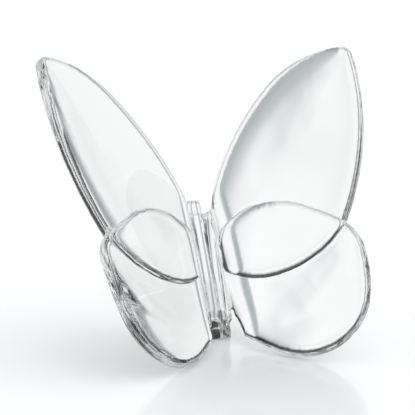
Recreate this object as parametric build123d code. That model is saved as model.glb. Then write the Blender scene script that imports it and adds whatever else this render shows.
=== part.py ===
from build123d import *
from math import cos, radians, sin, tan
import os

# Butterfly ornament of clear crystal, standing on its two hindwings and its tail.
# Lengths are in mm and angles in degrees. +X is to the viewer's right, -Y is the open side, +Z is up.

# Setting of the wings: their middle planes cross in one line that leans back from the floor
wing_line_lean = 42.4
wing_spread = 56.2

# Forewing: reach out from the crossing line, rise along that line, glass thickness
forewing_reach = 45.0
forewing_rise = 63.9
forewing_front = 2.0
forewing_back = 1.6
forewing_heading = 79.5

# Hindwing: reach and rise as above, and the shallow bowl that its glass is dished to
hindwing_reach = 35.7
hindwing_rise = 32.1
hindwing_thickness = 3.8
hindwing_heading = 106.3
bowl_radius = 200.0
bowl_reach = 8.0
bowl_rise = 18.0
bowl_set_back = 0.8

# The two lobes of a wing are lapped where they cross: the forewing in front, the hindwing behind.
# Their roots, within the root reach of the crossing line, belong to the body
lap_depth = 0.1
rim_round = 0.7
root_reach = 5.5

# Body: a slim bar behind the wings that leans back and ends in a foot
body_lean = 35.7
foot_front = 6.8
foot_rim_height = 2.3
foot_half_width = 3.1
foot_length = 12.0
foot_brow_half_width = 2.7
waist_height = 9.0
waist_half_width = 2.9
waist_depth = 9.5
head_height = 28.4
head_half_width = 1.9
head_depth = 4.2
head_round = 1.2
back_corner = 1.2

# Web that fills the angle between the wing roots and the body
web_half_width = 2.6
web_back = 4.5
web_low = 5.0
web_high = 37.0

# Gap that opens downwards between the two hindwings and frees the foot
gap_top = 7.65
gap_top_half_width = 3.3
gap_middle = 0.1
gap_middle_half_width = 6.2
gap_bottom = -10.1
gap_bottom_half_width = 17.0
gap_draft = 6.0

# Groove between the wing roots, with a narrow flat strip on its floor that widens at the foot
strip_half_width = 1.1
strip_end_height = 10.0
foot_floor_half_width = 2.55
groove_half_width = 3.1
groove_depth = 2.7
shoulder_reach = 9.0
shoulder_turn = 40.0

# Faces ground flat where the hindwings stand
foot_grind = 0.15

# Overrun of every cut, and the side of a block of space that holds the whole butterfly
overrun = 20.0
space_side = 250.0

forewing_outline_shares = [
    (0.027, 0.424),
    (0.164, 0.679),
    (0.511, 0.945),
    (0.942, 1.000),
    (1.000, 0.948),
    (0.967, 0.696),
    (0.751, 0.327),
    (0.669, 0.266),
    (0.287, 0.203),
    (0.033, 0.358),
]
hindwing_outline_shares = [
    (0.070, 0.629),
    (0.160, 0.925),
    (0.375, 1.000),
    (0.697, 0.866),
    (0.880, 0.685),
    (1.000, 0.399),
    (0.952, 0.003),
    (0.692, -0.263),
    (0.471, -0.249),
    (0.275, -0.112),
    (0.034, 0.140),
]

lean = radians(wing_line_lean)
spread = radians(wing_spread)
up_the_wings = Vector(0, sin(lean), cos(lean))
into_the_v = Vector(0, -cos(lean), sin(lean))
outward = Vector(sin(spread), 0, 0) + into_the_v * cos(spread)
wing_plane = Plane(origin=(0, 0, 0), x_dir=outward, z_dir=outward.cross(up_the_wings))


def outline(shares, reach, rise, heading):
    """Closed face of tangent arcs through the outline's points, in the wing plane."""
    points = [Vector(across * reach, along * rise) for across, along in shares]
    direction = Vector(cos(radians(heading)), sin(radians(heading)))
    edges = []
    for start, end in zip(points, points[1:]):
        arc = TangentArc(start, end, tangent=direction)
        edges.append(arc)
        direction = arc % 1
    edges.append(Line(points[-1], points[0]))
    return make_face(edges)


def forewing_outline():
    return outline(forewing_outline_shares, forewing_reach, forewing_rise, forewing_heading)


def hindwing_outline():
    return outline(hindwing_outline_shares, hindwing_reach, hindwing_rise, hindwing_heading)


def prism(face, low, high):
    """A plate of the face's shape from height low to height high over the wing plane."""
    return extrude(Pos(0, 0, low) * face, high - low)


def rounded(plate, levels):
    """The plate with the long edges of its faces broken; levels are heights on its two faces."""
    edges = ShapeList()
    for face in levels:
        edges += face.edges()
    return fillet(edges, rim_round)


def forewing_plate():
    """Flat plate of the forewing, both of its faces framed by a small round."""
    plate = prism(forewing_outline(), -forewing_back, forewing_front)
    layers = plate.faces().sort_by(Axis.Z)
    return rounded(plate, [layers[0], layers[-1]])


def bowl_ball(radius):
    """Ball whose surface is one of the dished faces of a hindwing."""
    place = Pos(bowl_reach, bowl_rise, bowl_radius - bowl_set_back)
    return place * Rot(90, 0, 0) * Sphere(radius)


def hindwing_plate():
    """Dished plate of the hindwing, both of its faces framed by a small round."""
    half = hindwing_thickness / 2
    plate = prism(hindwing_outline(), -overrun, overrun)
    plate = (plate & bowl_ball(bowl_radius + half)) - bowl_ball(bowl_radius - half)
    broad = plate.faces().sort_by(SortBy.AREA)[-2:]
    return rounded(plate, broad)


def strip_level(along):
    """Height over the crossing line, into the V, of the groove's floor at a place along that line."""
    start_along = foot_front * sin(lean) + foot_rim_height * cos(lean)
    start_level = foot_rim_height * sin(lean) - foot_front * cos(lean)
    return start_level + (along - start_along) * tan(lean - radians(body_lean))


def groove_section(along, floor_half_width):
    """Section of the cut that parts the wing roots, square to the crossing line."""
    floor = strip_level(along)
    rim = floor + groove_depth
    shoulder = shoulder_reach * cos(spread) + forewing_front * sin(spread)
    shoulder_x = shoulder_reach * sin(spread) - forewing_front * cos(spread)
    top = shoulder + overrun
    chord = Vector(shoulder_x - groove_half_width, shoulder - rim)
    bend = chord.length / 2 / sin(radians(shoulder_turn / 2))
    left_shoulder = RadiusArc((-shoulder_x, shoulder), (-groove_half_width, rim), bend)
    right_shoulder = RadiusArc((groove_half_width, rim), (shoulder_x, shoulder), bend)
    lines = [
        Line((-floor_half_width, floor), (floor_half_width, floor)),
        Line((floor_half_width, floor), (groove_half_width, rim)),
        right_shoulder,
        Line((shoulder_x, shoulder), (shoulder_x, top)),
        Line((shoulder_x, top), (-shoulder_x, top)),
        Line((-shoulder_x, top), (-shoulder_x, shoulder)),
        left_shoulder,
        Line((-groove_half_width, rim), (-floor_half_width, floor)),
    ]
    place = Plane(origin=up_the_wings * along, x_dir=(1, 0, 0), z_dir=-up_the_wings)
    return place * make_face(lines)


def groove_cut():
    """The groove between the wings: wide and flat at the foot, narrow from the strip's end up."""
    foot = groove_section(-foot_rim_height, foot_floor_half_width)
    strip_end = strip_end_height / cos(lean)
    waist = groove_section(strip_end, strip_half_width)
    head = groove_section(forewing_rise, strip_half_width)
    return loft([foot, waist], ruled=True) + loft([waist, head], ruled=True)


def body_section(height, front, half_width, front_half_width, depth):
    """Level section of the body: a flat front, flaring flanks and a round back."""
    side = front + back_corner
    back = front + depth
    lines = [
        Line((-front_half_width, front), (front_half_width, front)),
        Line((front_half_width, front), (half_width, side)),
        Line((half_width, side), (half_width, back - half_width)),
        ThreePointArc(
            (half_width, back - half_width), (0, back), (-half_width, back - half_width)
        ),
        Line((-half_width, back - half_width), (-half_width, side)),
        Line((-half_width, side), (-front_half_width, front)),
    ]
    return Pos(0, 0, height) * make_face(lines)


def body_bar():
    """The body behind the wings, from the foot's rim to the rounded head."""
    slope = tan(radians(body_lean))
    waist_front = foot_front + (waist_height - foot_rim_height) * slope
    head_front = foot_front + (head_height - foot_rim_height) * slope
    front_half_width = foot_half_width - rim_round
    sole = body_section(
        -foot_rim_height, foot_front, foot_half_width, front_half_width, foot_length
    )
    brow = body_section(
        foot_rim_height, foot_front, foot_half_width, foot_brow_half_width, foot_length
    )
    waist = body_section(waist_height, waist_front, waist_half_width, strip_half_width, waist_depth)
    head = body_section(head_height, head_front, head_half_width, strip_half_width, head_depth)
    bar = loft([sole, brow], ruled=True) + loft([brow, waist], ruled=True)
    bar = bar + loft([waist, head], ruled=True)
    crown = bar.faces().sort_by(Axis.Z)[-1]
    return fillet(crown.edges(), head_round)


def web():
    """Glass behind the groove that joins the two wing roots and the body bar."""
    wing_x = root_reach * sin(spread)
    wing_level = root_reach * cos(spread)
    section = Polyline(
        (-wing_x, wing_level),
        (wing_x, wing_level),
        (web_half_width, -web_back),
        (-web_half_width, -web_back),
        close=True,
    )
    place = Plane(origin=up_the_wings * web_high, x_dir=(1, 0, 0), z_dir=-up_the_wings)
    return extrude(place * make_face(section), web_high - web_low)


def tail_gap():
    """Room around the foot, its walls drawn upwards as they come forward."""
    low = gap_bottom - overrun
    right_wall = ThreePointArc(
        (gap_top_half_width, gap_top),
        (gap_middle_half_width, gap_middle),
        (gap_bottom_half_width, gap_bottom),
    )
    lines = [
        Line((-gap_top_half_width, gap_top), (gap_top_half_width, gap_top)),
        right_wall,
        Line((gap_bottom_half_width, gap_bottom), (gap_bottom_half_width, low)),
        Line((gap_bottom_half_width, low), (-gap_bottom_half_width, low)),
        Line((-gap_bottom_half_width, low), (-gap_bottom_half_width, gap_bottom)),
        mirror(right_wall, about=Plane.YZ),
    ]
    draft = radians(gap_draft)
    forward = into_the_v * cos(draft) + up_the_wings * sin(draft)
    place = Plane(origin=(0, 0, 0), x_dir=(1, 0, 0), z_dir=forward)
    return extrude(place * make_face(lines), overrun, both=True)


def beyond_root(side):
    """Block of space on one side of the root plane: side 1 holds the lobes, side -1 the body."""
    place = Pos(root_reach + side * space_side / 2, 0, 0)
    return place * Box(space_side, space_side, space_side)


def lap_room(face, side):
    """Space in front of (1) or behind (-1) the lap, over the shape of one lobe."""
    low, high = sorted([-lap_depth, -lap_depth + side * overrun])
    return prism(face, low, high)


def stood(solid, middle, floor):
    """The solid centred in depth and set on the floor, cut level where it meets the floor."""
    above = Pos(0, 0, space_side / 2) * Box(space_side, space_side, space_side)
    return (Pos(0, -middle, -floor) * solid) & above


def right_forewing(groove):
    """Forewing lobe, halved at the back where the hindwing laps it."""
    lobe = forewing_plate() - lap_room(hindwing_outline(), -1)
    return wing_plane * (lobe & beyond_root(1)) - groove


def right_hindwing(groove):
    """Hindwing lobe, halved in front where the forewing laps it."""
    lobe = hindwing_plate() - lap_room(forewing_outline(), 1)
    return wing_plane * (lobe & beyond_root(1)) - groove - tail_gap()


def body(groove):
    """Body bar with the roots of the four lobes on its sides."""
    roots = (forewing_plate() + hindwing_plate()) & beyond_root(-1)
    right_root = wing_plane * roots
    flanks = web() + right_root + mirror(right_root, about=Plane.YZ)
    return body_bar() + (flanks - tail_gap()) - groove


groove = groove_cut()
forewing = right_forewing(groove)
hindwing = right_hindwing(groove)
nodes = {
    "body": body(groove),
    "right_forewing": forewing,
    "right_hindwing": hindwing,
    "left_forewing": mirror(forewing, about=Plane.YZ),
    "left_hindwing": mirror(hindwing, about=Plane.YZ),
}
middle = Compound(children=list(nodes.values())).bounding_box().center().Y
floor = hindwing.bounding_box().min.Z + foot_grind
print("Floor level and middle of the depth before the move", round(floor, 2), round(middle, 2))
os.makedirs("parts", exist_ok=True)
for name, solid in nodes.items():
    nodes[name] = stood(solid, middle, floor)
    export_step(nodes[name], f"parts/{name}.step")
size = Compound(children=list(nodes.values())).bounding_box().size
print("Width, depth and height", [round(length, 2) for length in size])
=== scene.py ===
# %% [markdown]
# # A butterfly of clear crystal
# The ornament is one piece of pressed crystal, cut and polished at its rims. It stands on its
# two hindwings and on a small foot. The fixed frame holds five plain solids: a body and four
# wing lobes. Here each of them gets a fine mesh of its own, with the rounds, crowns and melted
# edges that bend the light, and one clear glass. Lengths in this file are written in
# millimetres and turned into metres where a point is made.

# %% Load the fixed frame
import bmesh
import bpy
import cmath
from math import cos, pi, radians, sin, sqrt, tan
from mathutils import Matrix, Vector, kdtree
from mathutils.bvhtree import BVHTree


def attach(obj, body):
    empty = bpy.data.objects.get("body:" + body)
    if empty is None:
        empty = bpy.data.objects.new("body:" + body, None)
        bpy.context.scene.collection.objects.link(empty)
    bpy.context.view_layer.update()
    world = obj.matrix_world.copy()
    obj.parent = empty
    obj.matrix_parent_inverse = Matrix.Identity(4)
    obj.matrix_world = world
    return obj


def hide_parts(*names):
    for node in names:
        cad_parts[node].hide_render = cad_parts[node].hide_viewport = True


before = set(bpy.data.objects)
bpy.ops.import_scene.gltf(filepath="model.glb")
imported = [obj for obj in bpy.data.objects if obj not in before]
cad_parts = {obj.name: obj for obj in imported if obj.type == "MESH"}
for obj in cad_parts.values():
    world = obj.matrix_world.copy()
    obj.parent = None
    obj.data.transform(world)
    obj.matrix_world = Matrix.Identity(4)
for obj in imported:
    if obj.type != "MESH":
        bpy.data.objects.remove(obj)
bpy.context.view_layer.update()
MM = 0.001
print("Nodes of the frame:", sorted(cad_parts))

# %% [markdown]
# ## The setting of the wings
# The middle planes of both wings cross in one line that leans back from the floor. Every place
# on a wing has three numbers: how far out from that line, how far up along it, and how far over
# the wing's own plane, towards the viewer. A left wing is the mirror image of a right one.
# Working in these three numbers keeps each lobe a simple flat drawing.

# %% Wing coordinates
line_lean = radians(42.4)
wing_spread = radians(56.2)
line_set_back = 6.90
line_drop = 0.15

up_the_wings = Vector((0, sin(line_lean), cos(line_lean)))
into_the_v = Vector((0, -cos(line_lean), sin(line_lean)))
outward = Vector((sin(wing_spread), 0, 0)) + into_the_v * cos(wing_spread)
over_wing = outward.cross(up_the_wings)
line_foot = Vector((0, -line_set_back, -line_drop))


def wing_point(out, up, over):
    """Place in metres of a point of the right wing."""
    return (line_foot + outward * out + up_the_wings * up + over_wing * over) * MM


def valley_point(across, up, deep):
    """Place in metres of a point between the wings, deep being measured into the V."""
    return (line_foot + Vector((across, 0, 0)) + up_the_wings * up + into_the_v * deep) * MM


print("A wing's plane faces", [round(part, 3) for part in over_wing])

# %% [markdown]
# ## The outlines of the lobes
# A lobe's edge is a chain of arcs that run smoothly into each other. Each arc starts in the
# direction in which the last one ended, so a few points and one first heading give the whole
# curve. Bezier curves could be drawn by eye instead, but arcs are what a cutting wheel leaves.
# The points are shares of the lobe's reach and rise. They match the solids of the frame.

# %% Draw the two outlines
forewing_size = (45.0, 63.9)
forewing_heading = 79.5
forewing_shares = [
    (0.027, 0.424), (0.164, 0.679), (0.511, 0.945), (0.942, 1.000), (1.000, 0.948),
    (0.967, 0.696), (0.751, 0.327), (0.669, 0.266), (0.287, 0.203), (0.033, 0.358),
]
hindwing_size = (35.7, 32.1)
hindwing_heading = 106.3
hindwing_shares = [
    (0.070, 0.629), (0.160, 0.925), (0.375, 1.000), (0.697, 0.866), (0.880, 0.685),
    (1.000, 0.399), (0.952, 0.003), (0.692, -0.263), (0.471, -0.249), (0.275, -0.112),
    (0.034, 0.140),
]
outline_step = 0.4
corner_room = 1.2


def arc_chain(shares, size, heading):
    """Outline as complex numbers, out + up * 1j, in steps along its tangent arcs."""
    corners = [complex(out * size[0], up * size[1]) for out, up in shares]
    direction = radians(heading)
    line = [corners[0]]
    for start, end in zip(corners, corners[1:]):
        chord = end - start
        turn = cmath.phase(chord / cmath.exp(1j * direction))
        count = max(3, round(abs(chord) / outline_step))
        for step in range(1, count + 1):
            part = turn * step / count
            reach = abs(chord) * sin(part) / sin(turn)
            line.append(start + reach * cmath.exp(1j * (direction + part)))
        direction += 2 * turn
    return line


def free_rim(shares, size, heading):
    """Chain of arcs with some room kept beside its two ends, where the root closes it."""
    line = arc_chain(shares, size, heading)
    first, last = line[0], line[-1]
    kept = [point for point in line[1:-1] if min(abs(point - first), abs(point - last)) > corner_room]
    return [first] + kept + [last]


def closed_by_root(rim):
    """Outline of a lobe: its free rim and a straight root inside the body."""
    first, last = rim[0], rim[-1]
    root_count = max(1, round(abs(last - first) / corner_room))
    return rim + [last + (first - last) * step / root_count for step in range(1, root_count)]


forewing_rim = free_rim(forewing_shares, forewing_size, forewing_heading)
hindwing_rim = free_rim(hindwing_shares, hindwing_size, hindwing_heading)
print("Points on the rims:", len(forewing_rim), len(hindwing_rim))

# %% [markdown]
# ## Closed skins
# Clear glass has to be a closed mesh, because a ray must leave every piece that it entered. So
# every piece starts as a skin stretched over a row of loops, like the frames of a boat, with both
# ends shut by a pole or a flat cap. Primitives and modifiers could give rough forms, but loops
# worked out from the drawing keep each face where the solid of the frame has it.


# %% Make a closed skin
def add_object(name, mesh):
    """New object with a mesh, put into the scene."""
    piece = bpy.data.objects.new(name, mesh)
    bpy.context.scene.collection.objects.link(piece)
    return piece


def skin(name, loops, poles=(None, None)):
    """Closed mesh through loops of equal length, ended by a pole each or else by a flat cap."""
    shell = bmesh.new()
    rings = [[shell.verts.new(point) for point in loop] for loop in loops]
    count = len(rings[0])
    for near, far in zip(rings, rings[1:]):
        for index in range(count):
            after = (index + 1) % count
            shell.faces.new((near[index], near[after], far[after], far[index]))
    for ring, pole in zip((rings[0], rings[-1]), poles):
        if pole is None:
            cap = shell.faces.new(ring)
            bmesh.ops.triangulate(shell, faces=[cap])
            continue
        tip = shell.verts.new(pole)
        for index in range(count):
            shell.faces.new((ring[index], ring[(index + 1) % count], tip))
    bmesh.ops.recalc_face_normals(shell, faces=shell.faces)
    mesh = bpy.data.meshes.new(name)
    shell.to_mesh(mesh)
    shell.free()
    return add_object(name, mesh)


# %% [markdown]
# ## Joins and cuts
# Pressed crystal has no seams. Two skins that only stand in each other would show their hidden
# walls through the clear glass. They could be stitched by hand in Edit Mode. A Boolean modifier
# does it from two closed meshes and keeps the result closed, and it is applied at once, so that
# the next cut starts from plain faces.


# %% Join and cut closed meshes
def settle(piece):
    """Replace a piece's mesh by what its modifiers make of it."""
    graph = bpy.context.evaluated_depsgraph_get()
    mesh = bpy.data.meshes.new_from_object(piece.evaluated_get(graph))
    piece.modifiers.clear()
    piece.data = mesh


def work(piece, tool, operation):
    """Boolean of a piece with a tool, which is thrown away."""
    step = piece.modifiers.new("work", "BOOLEAN")
    step.operation = operation
    step.solver = "MANIFOLD"
    step.object = tool
    settle(piece)
    bpy.data.objects.remove(tool)
    return piece


# %% [markdown]
# ## The distance to a rim
# A pressed lobe isn't a sheet of window glass. Its faces are almost flat in the middle and fall
# away towards the rim, like a weak lens. So the height of a point follows from its distance to
# the rim. A search tree finds the nearest point of the rim quickly. Near the pointed tip the plain
# distance would leave a sharp ridge, so the mean of some places round the point is taken.

# %% Measure the distance to a rim
blend_share = 0.6
blend_reach = 2.5
blend_count = 6


def rim_tree(rim):
    """Search tree that finds the point of a rim nearest to any place on its lobe."""
    tree = kdtree.KDTree(len(rim))
    for index, point in enumerate(rim):
        tree.insert((point.real, point.imag, 0), index)
    tree.balance()
    return tree


def rim_distance(tree, rim, point):
    """Distance from a place on a lobe to the nearest of the short lines that make its free rim."""
    index = tree.find((point.real, point.imag, 0))[1]
    nearest = abs(point - rim[index])
    for start in (index - 1, index):
        if not 0 <= start < len(rim) - 1:
            continue
        side = rim[start + 1] - rim[start]
        share = ((point - rim[start]) * side.conjugate()).real / abs(side) ** 2
        share = min(1.0, max(0.0, share))
        nearest = min(nearest, abs(point - rim[start] - side * share))
    return nearest


def soft_distance(tree, rim, point):
    """Distance to the rim, evened out round the point so that no ridge forms at the tip."""
    reach = min(blend_share * rim_distance(tree, rim, point), blend_reach)
    total = 0
    for step in range(blend_count):
        beside = point + reach * cmath.exp(2j * pi * step / blend_count)
        total += rim_distance(tree, rim, beside)
    return total / blend_count


forewing_tree = rim_tree(forewing_rim)
forewing_middle = sum(forewing_rim) / len(forewing_rim)
glass_beside = soft_distance(forewing_tree, forewing_rim, forewing_middle)
print("Middle of the forewing to its rim:", round(glass_beside, 1), "mm")

# %% [markdown]
# ## The crown of a face
# The crown is what draws the soft grey shade along every edge of the real one. One round curve
# would shade only a thin line or the whole wing. Three shallow crowns of different width, given
# as width and drop, add up to a face that steepens little by little towards the rim.

# %% Let a face fall away towards its rim
crowns = [(18.0, 0.42), (7.0, 0.16), (2.6, 0.10)]


def crowned(rim, height, direction):
    """Height of a face that falls away from a plain height towards the rim."""
    tree = rim_tree(rim)

    def level(point):
        """Height of the crowned face over the wing's plane at one point."""
        distance = soft_distance(tree, rim, point)
        fallen = sum(drop * max(0.0, 1 - distance / width) ** 2 for width, drop in crowns)
        return height(point) - direction * fallen

    return level


print("A face falls at its rim by", round(sum(drop for width, drop in crowns), 2), "mm")

# %% [markdown]
# ## The polished edge
# The rims were ground on a wheel and polished round, so they bend the light most and carry the
# dark lines. A Bevel modifier could round them, but it would leave them dead even. Here each face
# ends in a quarter oval of its own, and the width of that oval and the rim itself wander a
# little, as they do where a hand held the lobe against the wheel.

# %% Stack the rings of one face
rim_steps = 8
ring_count = 30
round_width = 1.5
front_round = 0.75
back_round = 0.6
ripple_short = 2.9
ripple_long = 6.7
ripple_shift = 1.0
ripple_depth = 0.04
ripple_share = 0.10


def inward(outline, index):
    """Unit vector into the lobe at a point of its outline, longer where the outline has a corner."""
    before, here, after = outline[index - 1], outline[index], outline[(index + 1) % len(outline)]
    first = (here - before) / abs(here - before)
    second = (after - here) / abs(after - here)
    middle = first + second
    middle /= abs(middle)
    lengthen = 1 / (middle.conjugate() * first).real
    return -1j * middle * lengthen


def ripple(along):
    """Slow uneven wave that a hand on the polishing wheel leaves along a rim, from -1 to 1."""
    short = sin(2 * pi * along / ripple_short)
    return (short + sin(2 * pi * along / ripple_long + ripple_shift)) / 2


def edge_lines(rim):
    """The worn outline of a lobe, and the line further in at which its round ends."""
    outline = closed_by_root(rim)
    edge, inset = [], []
    along = 0
    for index, point in enumerate(outline):
        along += abs(point - outline[index - 1])
        into = inward(outline, index)
        edge.append(point + into * ripple_depth * (1 + ripple(along)))
        inset.append(point + into * round_width * (1 + ripple_share * ripple(2 * along)))
    return edge, inset


def face_rings(rim, level, rim_round, direction):
    """Rings of one face from the wall to its middle: a quarter oval, then the crowned face."""
    edge, inset = edge_lines(rim)
    outline = closed_by_root(rim)
    middle = sum(outline) / len(outline)
    rings = []
    for step in range(rim_steps + 1):
        angle = pi / 2 * step / rim_steps
        ring = []
        for outer, inner in zip(edge, inset):
            point = inner + (outer - inner) * cos(angle)
            over = level(point) - direction * rim_round * (1 - sin(angle))
            ring.append(wing_point(point.real, point.imag, over))
        rings.append(ring)
    for step in range(1, ring_count):
        share = 1 - step / ring_count
        points = [middle + (point - middle) * share for point in inset]
        rings.append([wing_point(point.real, point.imag, level(point)) for point in points])
    return rings, wing_point(middle.real, middle.imag, level(middle))


# %% [markdown]
# ## The glass of a lobe
# A lobe is one closed plate: the rings of its back, a narrow wall, and the rings of its front.
# The wall is split into levels, so that its faces stay about as small as those of the rounds.

# %% Close a lobe
wall_levels = 4


def lobe(name, rim, front, back):
    """Mesh of a closed plate of glass between a front and a back height over the wing's plane."""
    front_rings, front_pole = face_rings(rim, front, front_round, 1)
    back_rings, back_pole = face_rings(rim, back, back_round, -1)
    wall = []
    for step in range(1, wall_levels):
        share = step / wall_levels
        wall.append([low.lerp(high, share) for low, high in zip(back_rings[0], front_rings[0])])
    rings = back_rings[::-1] + wall + front_rings
    print(name, "rings of", len(rings[0]), "points:", len(rings))
    plate = skin(name, rings, (back_pole, front_pole))
    mesh = plate.data
    bpy.data.objects.remove(plate)
    return mesh


# %% [markdown]
# ## Heights of the two lobes
# The forewing is flat. The hindwing is dished like a piece of a large ball, so that its rim comes
# forward at the outer side. A dish that went on beneath the forewing would swallow the forewing's
# rounded edge, which the real one shows as a clear dark line. So the hindwing eases down as it
# comes near that edge, and stays down all the way beneath the forewing. A step would do it too,
# but clear glass shows every step as a second line.

# %% Height of each face
forewing_front = 2.0
forewing_back = -1.6
dish_radius = 240.0
dish_out = 8.0
dish_up = 18.0
dish_set_back = 0.7
hindwing_front_height = 1.65
hindwing_back_height = -1.85
edge_stand = 1.25
edge_reach = 12.0
lap_over = -0.1


def dish(point):
    """Height of the hindwing's middle surface."""
    aside = abs(point - complex(dish_out, dish_up))
    return dish_radius - sqrt(dish_radius ** 2 - aside ** 2) - dish_set_back


def beneath_forewing(point):
    """Whether a place on the wing lies on the inner side of the forewing's rim."""
    index = forewing_tree.find((point.real, point.imag, 0))[1]
    before = forewing_rim[max(index - 1, 0)]
    after = forewing_rim[min(index + 1, len(forewing_rim) - 1)]
    return ((point - forewing_rim[index]) * (after - before).conjugate()).imag < 0


def tucked(point):
    """How far the hindwing drops so that the forewing's rim stands clear in front of it."""
    away = 0.0
    if not beneath_forewing(point):
        away = min(1.0, rim_distance(forewing_tree, forewing_rim, point) / edge_reach)
    ease = away * away * (3 - 2 * away)
    excess = max(0.0, dish(point) + hindwing_front_height - (forewing_front - edge_stand))
    return excess * (1 - ease)


def hindwing_front(point):
    """Plain height of the hindwing's front, before its crown."""
    return dish(point) + hindwing_front_height - tucked(point)


def hindwing_back(point):
    """Plain height of the hindwing's back, before its crown."""
    return dish(point) + hindwing_back_height - tucked(point)


forewing_level = crowned(forewing_rim, lambda point: forewing_front, 1)
forewing_under = crowned(forewing_rim, lambda point: forewing_back, -1)
hindwing_level = crowned(hindwing_rim, hindwing_front, 1)
hindwing_under = crowned(hindwing_rim, hindwing_back, -1)
ends = (hindwing_rim[0], hindwing_rim[len(hindwing_rim) // 2])
heights = [round(hindwing_level(end), 2) for end in ends]
print("Hindwing's front at its root and at its outer side:", heights)

# %% [markdown]
# ## Two whole lobes
# Both lobes are needed more than once: as a wing, as the tool that cuts the lap, and as the root
# in the body. Each mesh is therefore made once and copied for each use.

# %% Make the whole lobes
forewing_mesh = lobe("whole_forewing", forewing_rim, forewing_level, forewing_under)
hindwing_mesh = lobe("whole_hindwing", hindwing_rim, hindwing_level, hindwing_under)


def whole_forewing(name):
    """Copy of the whole forewing as an object."""
    return add_object(name, forewing_mesh.copy())


def whole_hindwing(name):
    """Copy of the whole hindwing as an object."""
    return add_object(name, hindwing_mesh.copy())


print("Faces of the whole lobes:", len(forewing_mesh.polygons), len(hindwing_mesh.polygons))

# %% [markdown]
# ## The groove between the wings
# A groove runs down between the wing roots, with a narrow flat strip on its floor that is wider
# at the foot. Its walls curve like those of a bowl and run out into the faces of the wings. One
# tool for both lobes would end with a crease on one of them, and clear glass shows a crease as a
# grey line. So each lobe is cut by a groove of its own, whose wall ends flush with that lobe's
# front and in the same direction. The tool is a skin over sections square to the line in which
# the wings cross.

# %% Skin of a groove
body_lean = radians(35.7)
foot_front = 6.8
foot_rim = 2.3
strip_half = 1.1
strip_end = 10.0
foot_floor_half = 2.55
groove_half = 3.1
groove_depth = 2.7
shoulder_reach = 9.0
shoulder_steps = 14
shoulder_clear = 0.02
groove_bands = 30
overrun = 20.0


def strip_level(up):
    """Depth of the groove's floor in the V at a place along the line of the wings."""
    start_up = foot_front * sin(line_lean) + foot_rim * cos(line_lean)
    start_deep = foot_rim * sin(line_lean) - foot_front * cos(line_lean)
    return start_deep + (up - start_up) * tan(line_lean - body_lean)


def bent(start, end, turn, steps):
    """Points after the start on an arc that bends to the right by a turn on its way to the end."""
    chord = end - start
    points = []
    for step in range(1, steps + 1):
        part = turn / 2 * step / steps
        reach = abs(chord) * sin(part) / sin(turn / 2)
        points.append(start + reach * cmath.exp(1j * (cmath.phase(chord) + turn / 2 - part)))
    return points


def groove_loop(up, floor_half, level):
    """Section of the groove square to the line of the wings. Its wall ends flush with the lobe."""
    floor = strip_level(up)
    over = level(complex(shoulder_reach, up)) + shoulder_clear
    rim = complex(groove_half, floor + groove_depth)
    shoulder = complex(
        shoulder_reach * sin(wing_spread) - over * cos(wing_spread),
        shoulder_reach * cos(wing_spread) + over * sin(wing_spread),
    )
    turn = 2 * (cmath.phase(shoulder - rim) - (pi / 2 - wing_spread))
    right = [complex(floor_half, floor), rim] + bent(rim, shoulder, turn, shoulder_steps)
    right.append(shoulder + 1j * overrun)
    left = [complex(-point.real, point.imag) for point in reversed(right)]
    return [valley_point(point.real, up, point.imag) for point in right + left]


def groove(name, level):
    """Groove for the lobe whose front has this level."""
    stations = [
        (-foot_rim, foot_floor_half),
        (strip_end / cos(line_lean), strip_half),
        (forewing_size[1], strip_half),
    ]
    loops = []
    for (low, low_half), (high, high_half) in zip(stations, stations[1:]):
        for band in range(groove_bands):
            share = band / groove_bands
            up = low + (high - low) * share
            half = low_half + (high_half - low_half) * share
            loops.append(groove_loop(up, half, level))
    loops.append(groove_loop(*stations[-1], level))
    return skin(name, loops)


print("Groove's floor over the crossing line at the foot:", round(strip_level(-foot_rim), 1), "mm")

# %% [markdown]
# ## The gap round the foot
# Below the groove the two hindwings part and leave the foot free between them. The opening is
# drawn as one arc on each side and pushed through the glass with a little draft, the slope that
# lets a pressed piece leave its mould.

# %% Skin of the gap
gap_top = complex(3.3, 7.65)
gap_middle = complex(6.2, 0.1)
gap_bottom = complex(17.0, -10.1)
gap_draft = radians(6.0)
gap_steps = 40


def through(start, middle, end, steps):
    """Points of the arc through three places, both ends included."""
    first, second = middle - start, end - start
    swing = (first.conjugate() * second).imag
    centre = start + (first * abs(second) ** 2 - second * abs(first) ** 2) / (2j * swing)
    sweep = cmath.phase((end - centre) / (start - centre))
    return [centre + (start - centre) * cmath.exp(1j * sweep * step / steps) for step in range(steps + 1)]


def gap(name):
    """The opening below the groove, from in front of the wings to behind them."""
    right = through(gap_top, gap_middle, gap_bottom, gap_steps) + [gap_bottom - 1j * overrun]
    left = [complex(-point.real, point.imag) for point in reversed(right)]
    loops = []
    for along in (-overrun, overrun):
        forward, raised = along * cos(gap_draft), along * sin(gap_draft)
        loop = []
        for point in right + left:
            up = point.imag * cos(gap_draft) + raised
            deep = forward - point.imag * sin(gap_draft)
            loop.append(valley_point(point.real, up, deep))
        loops.append(loop)
    return skin(name, loops)


print("The gap opens to", 2 * gap_bottom.real, "mm")

# %% [markdown]
# ## Flat cuts
# The ornament is ground level where it stands, each lobe ends in a flat root plane at the body,
# and the lap is cut at one height. All three are plain blocks, far larger than the piece, so that
# only one of their sides ever cuts.

# %% Blocks that cut
room = 100.0


def block(name, low, high, place):
    """Box between two corners given in the numbers that the place function takes."""
    loops = []
    for third in (low[2], high[2]):
        corners = [(low[0], low[1]), (high[0], low[1]), (high[0], high[1]), (low[0], high[1])]
        loops.append([place(first, second, third) for first, second in corners])
    return skin(name, loops)


def floor_point(across, back, up):
    """Place in metres of a point measured from the floor."""
    return Vector((across, back, up)) * MM


def below_floor(name):
    """Block that holds everything under the floor."""
    return block(name, (-room, -room, -room), (room, room, 0), floor_point)


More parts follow.
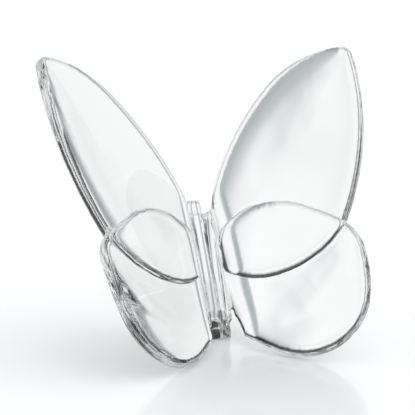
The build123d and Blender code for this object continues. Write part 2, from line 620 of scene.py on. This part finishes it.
def beyond_root(name, out):
    """Block that holds everything of the right wing outside a root plane."""
    return block(name, (out, -room, -room), (room, room, room), wing_point)


def level_half(name, low, high):
    """Block that holds everything of the right wing between two heights over its plane."""
    return block(name, (-room, -room, low), (room, room, high), wing_point)


# %% [markdown]
# ## The right wing
# The forewing lies in front of the hindwing. They are lapped like two halves of a wood joint: the
# forewing gives its back where the hindwing crosses, the hindwing gives its front, and both meet
# face to face. The roots close to the body are left to the body.

# %% Forewing and hindwing
root_reach = 5.5

right_forewing = whole_forewing("crystal_right_forewing")
behind = work(whole_hindwing("tool"), level_half("tool", -room, lap_over), "INTERSECT")
work(right_forewing, behind, "DIFFERENCE")
work(right_forewing, beyond_root("tool", root_reach), "INTERSECT")
work(right_forewing, groove("tool", forewing_level), "DIFFERENCE")
print("Right forewing faces:", len(right_forewing.data.polygons))

right_hindwing = whole_hindwing("crystal_right_hindwing")
in_front = work(whole_forewing("tool"), level_half("tool", lap_over, room), "INTERSECT")
work(right_hindwing, in_front, "DIFFERENCE")
work(right_hindwing, beyond_root("tool", root_reach), "INTERSECT")
work(right_hindwing, groove("tool", hindwing_level), "DIFFERENCE")
work(right_hindwing, gap("tool"), "DIFFERENCE")
work(right_hindwing, below_floor("tool"), "DIFFERENCE")
print("Right hindwing faces:", len(right_hindwing.data.polygons))

# %% [markdown]
# ## The left wing
# The left wing is the mirror image of the right one. A Mirror modifier would keep both sides in
# one object, but each lobe has to be a piece of its own. So the mesh is copied and turned over.
# A mirrored mesh is inside out, and its normals have to be flipped back.


# %% Turn the right wing over
def mirrored(piece, name):
    """Mirror image of a piece on the other side of the butterfly."""
    mesh = piece.data.copy()
    mesh.transform(Matrix.Scale(-1, 4, (1, 0, 0)))
    mesh.flip_normals()
    return add_object(name, mesh)


left_forewing = mirrored(right_forewing, "crystal_left_forewing")
left_hindwing = mirrored(right_hindwing, "crystal_left_hindwing")
print("Left wing faces:", len(left_forewing.data.polygons), len(left_hindwing.data.polygons))

# %% [markdown]
# ## The bar behind the wings
# Behind the wings runs a slim bar that leans back. It stands on the foot, narrows at the waist
# and ends in a domed head. A cylinder could be tapered for it, but the bar is flat in front and
# round behind, so it's a skin over level sections, the last of which close in like a dome.

# %% Bar and web
foot_half = 3.1
foot_length = 12.0
foot_front_half = 2.8
foot_brow_half = 2.6
waist_height = 9.0
waist_half = 2.9
waist_depth = 9.5
head_height = 28.4
head_half = 1.9
head_depth = 4.2
head_round = 1.6
head_steps = 8
front_corner = 1.2
web_reach = 4.0
web_half = 2.6
web_back = 4.5
web_low = 5.0
web_high = 35.0
back_steps = 12


def bar_loop(height, front, half, front_half, depth):
    """Level section of the bar: a flat front, flaring flanks and a round back."""
    side = front + min(front_corner, depth - half)
    turn = front + depth - half
    points = [(front_half, front), (half, side)]
    for step in range(back_steps + 1):
        angle = pi * step / back_steps
        points.append((half * cos(angle), turn + half * sin(angle)))
    points += [(-half, side), (-front_half, front)]
    return [Vector((x, y - line_set_back, height - line_drop)) * MM for x, y in points]


def bar(name):
    """The leaning bar from under the floor to the top of its head."""
    slope = tan(body_lean)
    waist_front = foot_front + (waist_height - foot_rim) * slope
    head_front = foot_front + (head_height - foot_rim) * slope
    loops = [
        bar_loop(-foot_rim, foot_front, foot_half, foot_front_half, foot_length),
        bar_loop(foot_rim, foot_front, foot_half, foot_brow_half, foot_length),
        bar_loop(waist_height, waist_front, waist_half, strip_half, waist_depth),
    ]
    for step in range(head_steps + 1):
        angle = pi / 2 * step / head_steps
        height = head_height - head_round * (1 - sin(angle))
        inset = head_round * (1 - cos(angle))
        half = head_half - inset
        front_half = half * strip_half / head_half
        loops.append(bar_loop(height, head_front + inset, half, front_half, head_depth - 2 * inset))
    return skin(name, loops)


def web(name):
    """Glass that fills the angle between the wing roots and the bar."""
    wide, deep = web_reach * sin(wing_spread), web_reach * cos(wing_spread)
    section = [(-wide, deep), (wide, deep), (web_half, -web_back), (-web_half, -web_back)]
    return skin(name, [[valley_point(x, up, d) for x, d in section] for up in (web_low, web_high)])


print("Head over the table:", round(head_height - line_drop, 2), "mm")

# %% [markdown]
# ## The body
# The body is the bar, the web that fills the angle behind the wings, and the roots of the four
# lobes. The roots are made longer than the body keeps. So the cut that ends them later is crisp,
# and lies exactly on the root plane of the lobes.

# %% Join the body's parts
root_lap = 2.5


def right_root(name):
    """Inner end of a whole wing, a little longer than the body keeps."""
    root = work(whole_forewing(name), groove("tool", forewing_level), "DIFFERENCE")
    lower = work(whole_hindwing("tool"), groove("tool_groove", hindwing_level), "DIFFERENCE")
    work(root, lower, "UNION")
    return work(root, beyond_root("tool", root_reach + root_lap), "DIFFERENCE")


body = web("crystal_body")
work(body, gap("tool"), "DIFFERENCE")
work(body, bar("tool"), "UNION")
work(body, groove("tool", hindwing_level), "DIFFERENCE")
root = work(right_root("tool_root"), gap("tool"), "DIFFERENCE")
work(body, mirrored(root, "tool"), "UNION")
work(body, root, "UNION")
work(body, below_floor("tool"), "DIFFERENCE")
print("Joined body faces:", len(body.data.polygons))

# %% [markdown]
# ## Melted edges
# On the real piece all edges of the body were softened by the fire that polished it. A bevel
# can't follow so many crossing edges. So a voxel remesh turns the joined parts into one even
# skin, and some rounds of smoothing pull its edges round. A vertex group lets the melting fade
# out towards the lobes, whose faces stay as they were cut.

# %% Melt the body's edges
melt_voxel = 0.18
melt_factor = 0.5
melt_rounds = 40
melt_fade = 2.5


def search_tree(piece):
    """Search tree over a piece's faces."""
    shell = bmesh.new()
    shell.from_mesh(piece.data)
    bmesh.ops.triangulate(shell, faces=shell.faces)
    tree = BVHTree.FromBMesh(shell)
    shell.free()
    return tree


def melted_share(place):
    """How far the melting has its way at a place in metres: all in the body, none at the lobes."""
    out = (Vector((abs(place.x), place.y, place.z)) / MM - line_foot).dot(outward)
    return min(1.0, max(0.0, (root_reach - out) / melt_fade))


exact = search_tree(body)
melt = body.modifiers.new("melt", "REMESH")
melt.mode = "VOXEL"
melt.voxel_size = melt_voxel * MM
settle(body)
melted = body.vertex_groups.new(name="melted")
for vertex in body.data.vertices:
    melted.add([vertex.index], melted_share(vertex.co), "REPLACE")
soften = body.modifiers.new("soften", "SMOOTH")
soften.factor = melt_factor
soften.iterations = melt_rounds
soften.vertex_group = "melted"
settle(body)
body.vertex_groups.clear()
print("Melted body faces:", len(body.data.polygons))

# %% [markdown]
# ## Seats for the lobes
# A voxel skin lies a hair beside the surface that it was made from, which would show as a step
# between body and lobe. The Shrinkwrap modifier could draw it back. Here each vertex near the
# roots is moved onto the unmelted body by the share that the melting left, and then the flat
# cuts end the body at its root planes and on the floor.

# %% Draw the roots onto the lobes
for vertex in body.data.vertices:
    share = 1 - melted_share(vertex.co)
    if share > 0:
        vertex.co = vertex.co.lerp(exact.find_nearest(vertex.co)[0], share)

right_of_body = beyond_root("tool", root_reach)
left_of_body = mirrored(right_of_body, "tool_left")
work(body, right_of_body, "DIFFERENCE")
work(body, left_of_body, "DIFFERENCE")
work(body, below_floor("tool"), "DIFFERENCE")
print("Body faces:", len(body.data.polygons))

# %% [markdown]
# ## Clear crystal
# Real crystal has almost no colour of its own. What the eye sees is the room, bent. A Glass
# shader would do, but a Principled surface with full transmission also carries over to other
# programs. It gets the refraction of heavy crystal and a very faint waviness, as a face has that
# was pressed and then fire polished. The waves are a noise drawn out along the lean of the wings.

# %% Crystal
crystal_tint = (0.985, 0.992, 0.996, 1)
crystal_index = 1.55
wave_scale = 110.0
wave_stretch = 0.35
wave_detail = 1.0
wave_strength = 0.08
wave_depth = 1.0


def crystal_glass():
    """Polished clear crystal with the faint waves of its casting."""
    glass = bpy.data.materials.new("clear_crystal")
    glass.use_nodes = True
    tree = glass.node_tree
    surface = tree.nodes["Principled BSDF"]
    surface.inputs["Base Color"].default_value = crystal_tint
    surface.inputs["Roughness"].default_value = 0.0
    surface.inputs["IOR"].default_value = crystal_index
    surface.inputs["Transmission Weight"].default_value = 1.0
    place = tree.nodes.new("ShaderNodeTexCoord")
    drawn = tree.nodes.new("ShaderNodeMapping")
    drawn.inputs["Rotation"].default_value = (line_lean, 0, 0)
    drawn.inputs["Scale"].default_value = (1, 1, wave_stretch)
    wave = tree.nodes.new("ShaderNodeTexNoise")
    wave.inputs["Scale"].default_value = wave_scale
    wave.inputs["Detail"].default_value = wave_detail
    bump = tree.nodes.new("ShaderNodeBump")
    bump.inputs["Strength"].default_value = wave_strength
    bump.inputs["Distance"].default_value = wave_depth * MM
    tree.links.new(place.outputs["Object"], drawn.inputs["Vector"])
    tree.links.new(drawn.outputs["Vector"], wave.inputs["Vector"])
    tree.links.new(wave.outputs["Fac"], bump.inputs["Height"])
    tree.links.new(bump.outputs["Normal"], surface.inputs["Normal"])
    return glass


crystal = crystal_glass()
print("Finish:", crystal.name)

# %% [markdown]
# ## Fused joints
# Where two pieces meet face to face the real glass runs on. Two crystal faces at the same place
# would bend the light twice and show as a wall. Leaving the faces out would open the meshes. So
# they stay, with a second finish that lets everything straight through.

# %% Finish of a fused joint
def fused_joint():
    """Finish of a face inside the glass, which bends no light."""
    joint = bpy.data.materials.new("fused_joint")
    joint.use_nodes = True
    tree = joint.node_tree
    tree.nodes.remove(tree.nodes["Principled BSDF"])
    clear = tree.nodes.new("ShaderNodeBsdfTransparent")
    tree.links.new(clear.outputs["BSDF"], tree.nodes["Material Output"].inputs["Surface"])
    return joint


joint = fused_joint()
print("Finish:", joint.name)

# %% [markdown]
# ## Find the faces that meet
# A face is fused if a point just outside it lies inside another piece. Picking such faces by hand
# would have to be done again after each change of a shape, so search trees find them. The pieces
# are shaded smooth, and only true corners such as the rim of the foot are kept sharp.

# %% Give each face its finish
pieces = {
    "body": body,
    "right_forewing": right_forewing,
    "right_hindwing": right_hindwing,
    "left_forewing": left_forewing,
    "left_hindwing": left_hindwing,
}
probe = 0.01
probe_limit = 0.03
crease = radians(30)


def just_inside(tree, point):
    """Whether a point lies inside the closed mesh of a search tree, right under its skin."""
    place, normal, _, depth = tree.find_nearest(point)
    return depth < probe_limit * MM and (point - place).dot(normal) < 0


trees = {name: search_tree(piece) for name, piece in pieces.items()}
for name, piece in pieces.items():
    mesh = piece.data
    mesh.materials.clear()
    mesh.materials.append(crystal)
    mesh.materials.append(joint)
    others = [tree for other, tree in trees.items() if other != name]
    met = 0
    for face in mesh.polygons:
        outside_point = face.center + face.normal * probe * MM
        fused = any(just_inside(tree, outside_point) for tree in others)
        face.material_index = 1 if fused else 0
        met += fused
    mesh.shade_smooth()
    mesh.set_sharp_from_angle(angle=crease)
    print(name, "faces", len(mesh.polygons), "of which fused", met)

# %% [markdown]
# ## Put the pieces on the frame
# Each piece stands for the solid of its own name, which is hidden, and rides on the one rigid
# body. Parenting by hand would place them too.

# %% Ride and replace
for name, piece in pieces.items():
    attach(piece, "root")
    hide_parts(name)
print("Pieces on the frame:", sorted(pieces))

# %% [markdown]
# ## The table
# The ornament stands on white gloss, which shows a soft shadow and a faint mirror image at its
# foot. Seen through the glass the same table would look grey, since the glass shades it. So rays
# that have passed through glass go on to the bright studio behind it, and only the direct view
# meets the gloss. A light of its own under the table would brighten it too, but unevenly.

# %% Table
table_half = 3000.0
table_gap = 0.02
table_white = (0.92, 0.93, 0.94, 1)
table_roughness = 0.15
table_glow = 0.10


def white_table():
    """Glossy white for the eye. Light that leaves the glass goes on to the screens behind."""
    gloss = bpy.data.materials.new("white_table")
    gloss.use_nodes = True
    tree = gloss.node_tree
    surface = tree.nodes["Principled BSDF"]
    surface.inputs["Base Color"].default_value = table_white
    surface.inputs["Roughness"].default_value = table_roughness
    glow = tree.nodes.new("ShaderNodeEmission")
    glow.inputs["Strength"].default_value = table_glow
    lit = tree.nodes.new("ShaderNodeAddShader")
    clear = tree.nodes.new("ShaderNodeBsdfTransparent")
    choice = tree.nodes.new("ShaderNodeMixShader")
    path = tree.nodes.new("ShaderNodeLightPath")
    tree.links.new(surface.outputs["BSDF"], lit.inputs[0])
    tree.links.new(glow.outputs["Emission"], lit.inputs[1])
    tree.links.new(path.outputs["Is Transmission Ray"], choice.inputs["Fac"])
    tree.links.new(lit.outputs["Shader"], choice.inputs[1])
    tree.links.new(clear.outputs["BSDF"], choice.inputs[2])
    tree.links.new(choice.outputs["Shader"], tree.nodes["Material Output"].inputs["Surface"])
    return gloss


signs = [(-1, -1), (1, -1), (1, 1), (-1, 1)]
corners = [floor_point(x * table_half, y * table_half, -table_gap) for x, y in signs]
table_mesh = bpy.data.meshes.new("table")
table_mesh.from_pydata(corners, [], [(0, 1, 2, 3)])
table_mesh.materials.append(white_table())
table = add_object("table", table_mesh)
print("Table of", 2 * table_half * MM, "m")

# %% [markdown]
# ## The studio round the glass
# Clear glass shows only its surroundings. A studio lights it against white and lets dark
# surroundings draw the edges, because only the steep rims bend the view far enough to reach
# them. Lamps and screens could stand as objects round the piece, but they would throw spots and
# shadows. Here the world itself is the studio: a ring of pale screens with soft grey gaps between
# them, a dark band above the horizon and a wide light overhead. Brightness follows the height
# over the horizon, given as stops of degrees and level, once for the screens and once for the
# gaps.

# %% Ring of screens
gap_count = 14
gap_turn = radians(25.2)
gap_edge = 0.20
gap_tint = (0.92, 0.98, 1.0)
screen_tint = (1, 1, 1)
screen_stops = [
    (-90, 1.0), (-50, 0.95), (-36, 0.6), (-26, 0.8), (-19, 1.0), (-5, 1.0), (-1, 0.7), (3, 0.2),
    (7, 0.015), (42, 0.015), (58, 0.7), (90, 1.0),
]
gap_stops = [
    (-90, 1.0), (-55, 0.8), (-42, 0.2), (-28, 0.35), (-18, 0.52), (-10, 0.46), (-5, 0.38), (0, 0.1),
    (5, 0.006), (46, 0.006), (62, 0.5), (90, 0.9),
]


def math_node(tree, operation, *values):
    """Math node whose inputs are numbers or the outputs of other nodes."""
    node = tree.nodes.new("ShaderNodeMath")
    node.operation = operation
    for slot, value in zip(node.inputs, values):
        if isinstance(value, (int, float)):
            slot.default_value = value
        else:
            tree.links.new(value, slot)
    return node.outputs["Value"]


def height_ramp(tree, height, stops, tint):
    """Brightness by height over the horizon, each stop being degrees and a level."""
    bands = tree.nodes.new("ShaderNodeValToRGB")
    tree.links.new(height, bands.inputs["Fac"])
    ramp = bands.color_ramp
    while len(ramp.elements) < len(stops):
        ramp.elements.new(0.5)
    for element, (degrees, level) in zip(ramp.elements, stops):
        element.position = (sin(radians(degrees)) + 1) / 2
        element.color = (level * tint[0], level * tint[1], level * tint[2], 1)
    return bands.outputs["Color"]


def screen_ring(tree, parts):
    """Colour of the studio by direction: screens, and gaps at even turns between them."""
    height = math_node(tree, "MULTIPLY_ADD", parts.outputs["Z"], 0.5, 0.5)
    turn = math_node(tree, "ARCTAN2", parts.outputs["X"], parts.outputs["Y"])
    place = math_node(tree, "MULTIPLY_ADD", turn, gap_count, -gap_count * gap_turn)
    wave = math_node(tree, "COSINE", place)
    gap_share = tree.nodes.new("ShaderNodeMapRange")
    gap_share.interpolation_type = "SMOOTHSTEP"
    tree.links.new(wave, gap_share.inputs["Value"])
    gap_share.inputs["From Min"].default_value = gap_edge
    both = tree.nodes.new("ShaderNodeMix")
    both.data_type = "RGBA"
    tree.links.new(gap_share.outputs["Result"], both.inputs["Factor"])
    tree.links.new(height_ramp(tree, height, screen_stops, screen_tint), both.inputs["A"])
    tree.links.new(height_ramp(tree, height, gap_stops, gap_tint), both.inputs["B"])
    return both.outputs["Result"]


# %% [markdown]
# ## Folds and the light from the side
# Real screens are cloth, so their white isn't even. A slow noise dims them here and there, and
# the thick glass turns that into the faint clouds of the photo's wings. For everything but the
# view through glass the studio is plain white, which keeps the picture's background clean. Only
# the light that falls on the table is stronger from one side and from behind, as from a window.

# %% Studio
cloud_size = 11.0
cloud_detail = 1.0
cloud_depth = 0.5
cloud_middle = 0.45
window_share = 0.5
side_share = 1.0


def screen_folds(tree, direction):
    """Strength of the screens: full, but a little less where a fold of the cloth lies."""
    cloud = tree.nodes.new("ShaderNodeTexNoise")
    cloud.inputs["Scale"].default_value = cloud_size
    cloud.inputs["Detail"].default_value = cloud_detail
    tree.links.new(direction, cloud.inputs["Vector"])
    brightest = 1 - cloud_depth * cloud_middle
    folds = math_node(tree, "MULTIPLY_ADD", cloud.outputs["Fac"], cloud_depth, brightest)
    return math_node(tree, "MINIMUM", folds, 1.0)


def side_light(tree, parts, path):
    """Strength of the plain white: one to the eye, and uneven only where it lights the table."""
    from_behind = math_node(tree, "MULTIPLY", parts.outputs["Y"], window_share)
    from_side = math_node(tree, "MULTIPLY_ADD", parts.outputs["X"], side_share, from_behind)
    return math_node(tree, "MULTIPLY_ADD", from_side, path.outputs["Is Diffuse Ray"], 1.0)


def soft_studio():
    """White for the eye and for gloss, a ring of soft screens for what the glass bends."""
    studio = bpy.data.worlds.new("studio")
    studio.use_nodes = True
    tree = studio.node_tree
    direction = tree.nodes.new("ShaderNodeTexCoord").outputs["Generated"]
    parts = tree.nodes.new("ShaderNodeSeparateXYZ")
    path = tree.nodes.new("ShaderNodeLightPath")
    tree.links.new(direction, parts.inputs["Vector"])
    seen_through = tree.nodes["Background"]
    tree.links.new(screen_ring(tree, parts), seen_through.inputs["Color"])
    tree.links.new(screen_folds(tree, direction), seen_through.inputs["Strength"])
    straight = tree.nodes.new("ShaderNodeBackground")
    straight.inputs["Color"].default_value = (1, 1, 1, 1)
    tree.links.new(side_light(tree, parts, path), straight.inputs["Strength"])
    choice = tree.nodes.new("ShaderNodeMixShader")
    tree.links.new(path.outputs["Is Transmission Ray"], choice.inputs["Fac"])
    tree.links.new(straight.outputs["Background"], choice.inputs[1])
    tree.links.new(seen_through.outputs["Background"], choice.inputs[2])
    tree.links.new(choice.outputs["Shader"], tree.nodes["World Output"].inputs["Surface"])
    return studio


bpy.context.scene.world = soft_studio()
print("Nodes of the studio:", len(bpy.context.scene.world.node_tree.nodes))

# %% [markdown]
# ## The camera
# The photo was taken from the left and a little above with a long lens. Its place was found from
# matching points of both wings, whose mirror images have to meet. The camera's own axes are
# worked out from two angles, which is easier to check than a set of rotations.

# %% Camera
view_turn = radians(17.03)
view_drop = radians(11.90)
view_width = radians(14.0)
camera_place = Vector((-110.20, -343.88 - line_set_back, 108.17 - line_drop)) * MM

view = bpy.data.cameras.new("view")
view.angle = view_width
camera = bpy.data.objects.new("camera", view)
bpy.context.scene.collection.objects.link(camera)
ahead = Vector((sin(view_turn) * cos(view_drop), cos(view_turn) * cos(view_drop), -sin(view_drop)))
aside = Vector((cos(view_turn), -sin(view_turn), 0))
above = aside.cross(ahead)
turned = Matrix((aside, above, -ahead)).transposed().to_4x4()
camera.matrix_world = Matrix.Translation(camera_place) @ turned
bpy.context.scene.camera = camera
print("Camera at", [round(part, 3) for part in camera_place])

# %% [markdown]
# ## Light paths
# A ray that enters a thick rim is thrown from wall to wall many times before it gets out. With
# few bounces it would end inside and leave a black patch, so the limits are high. The fused
# joints count as clear surfaces and need a limit of their own. The Standard view shows a white
# world as white, where the default view would turn it grey.

# %% Bounces and view
glass_bounces = 40
clear_bounces = 80
light_paths = bpy.context.scene.cycles
light_paths.max_bounces = glass_bounces
light_paths.transmission_bounces = glass_bounces
light_paths.glossy_bounces = glass_bounces
light_paths.transparent_max_bounces = clear_bounces
bpy.context.scene.view_settings.view_transform = "Standard"
print("Bounces in the glass:", glass_bounces)
